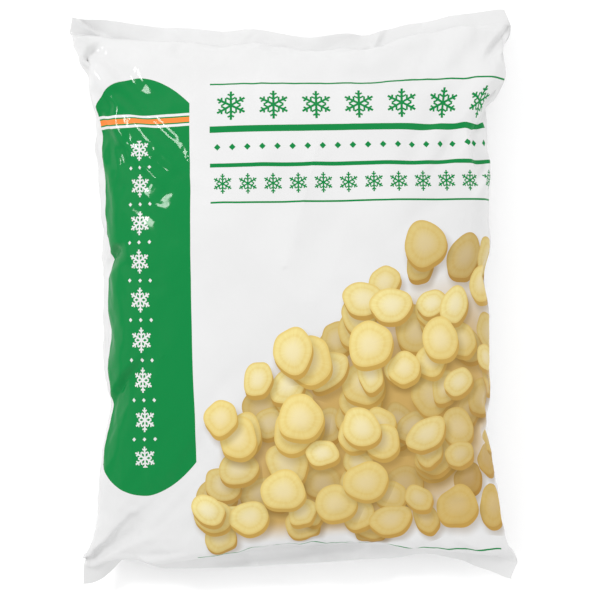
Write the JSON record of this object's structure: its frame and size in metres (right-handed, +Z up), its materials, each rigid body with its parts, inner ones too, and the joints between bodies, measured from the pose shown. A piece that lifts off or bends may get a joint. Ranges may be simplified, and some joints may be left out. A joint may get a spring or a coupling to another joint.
{
  "type": "pillow bag of frozen vegetables",
  "caption": "Filled and sealed pillow bag of printed film, lying on its back, that holds loose frozen sticks of peeled salsify root.",
  "frame": {"origin": "on the surface it lies on, under the middle of the bag", "axes": "+Y along the bag towards its top seal, +X across it, +Z up out of its printed front"},
  "size_m": [0.3084, 0.394, 0.0841],
  "materials": {
    "printed_film": "satin white polyethylene film with a green and pale yellow print",
    "salsify_flesh": null
  },
  "bodies": {
    "root": {"film_bag": "printed_film", "salsify_stick_01": "salsify_flesh", "salsify_stick_02": "salsify_flesh", "salsify_stick_03": "salsify_flesh", "salsify_stick_04": "salsify_flesh", "salsify_stick_05": "salsify_flesh", "salsify_stick_06": "salsify_flesh", "salsify_stick_07": "salsify_flesh", "salsify_stick_08": "salsify_flesh", "salsify_stick_09": "salsify_flesh", "salsify_stick_10": "salsify_flesh", "salsify_stick_11": "salsify_flesh", "salsify_stick_12": "salsify_flesh", "salsify_stick_13": "salsify_flesh", "salsify_stick_14": "salsify_flesh", "salsify_stick_15": "salsify_flesh", "salsify_stick_16": "salsify_flesh", "salsify_stick_17": "salsify_flesh", "salsify_stick_18": "salsify_flesh", "salsify_stick_19": "salsify_flesh", "salsify_stick_20": "salsify_flesh", "salsify_stick_21": "salsify_flesh", "salsify_stick_22": "salsify_flesh", "salsify_stick_23": "salsify_flesh", "salsify_stick_24": "salsify_flesh", "salsify_stick_25": "salsify_flesh", "salsify_stick_26": "salsify_flesh", "salsify_stick_27": "salsify_flesh", "salsify_stick_28": "salsify_flesh", "salsify_stick_29": "salsify_flesh", "salsify_stick_30": "salsify_flesh", "salsify_stick_31": "salsify_flesh", "salsify_stick_32": "salsify_flesh", "salsify_stick_33": "salsify_flesh", "salsify_stick_34": "salsify_flesh", "salsify_stick_35": "salsify_flesh", "salsify_stick_36": "salsify_flesh", "salsify_stick_37": "salsify_flesh", "salsify_stick_38": "salsify_flesh", "salsify_stick_39": "salsify_flesh", "salsify_stick_40": "salsify_flesh", "salsify_stick_41": "salsify_flesh", "salsify_stick_42": "salsify_flesh", "salsify_stick_43": "salsify_flesh", "salsify_stick_44": "salsify_flesh", "salsify_stick_45": "salsify_flesh", "salsify_stick_46": "salsify_flesh", "salsify_stick_47": "salsify_flesh", "salsify_stick_48": "salsify_flesh", "salsify_stick_49": "salsify_flesh", "salsify_stick_50": "salsify_flesh", "salsify_stick_51": "salsify_flesh", "salsify_stick_52": "salsify_flesh", "salsify_stick_53": "salsify_flesh", "salsify_stick_54": "salsify_flesh", "salsify_stick_55": "salsify_flesh", "salsify_stick_56": "salsify_flesh", "salsify_stick_57": "salsify_flesh", "salsify_stick_58": "salsify_flesh"}
  },
  "joints": []
}
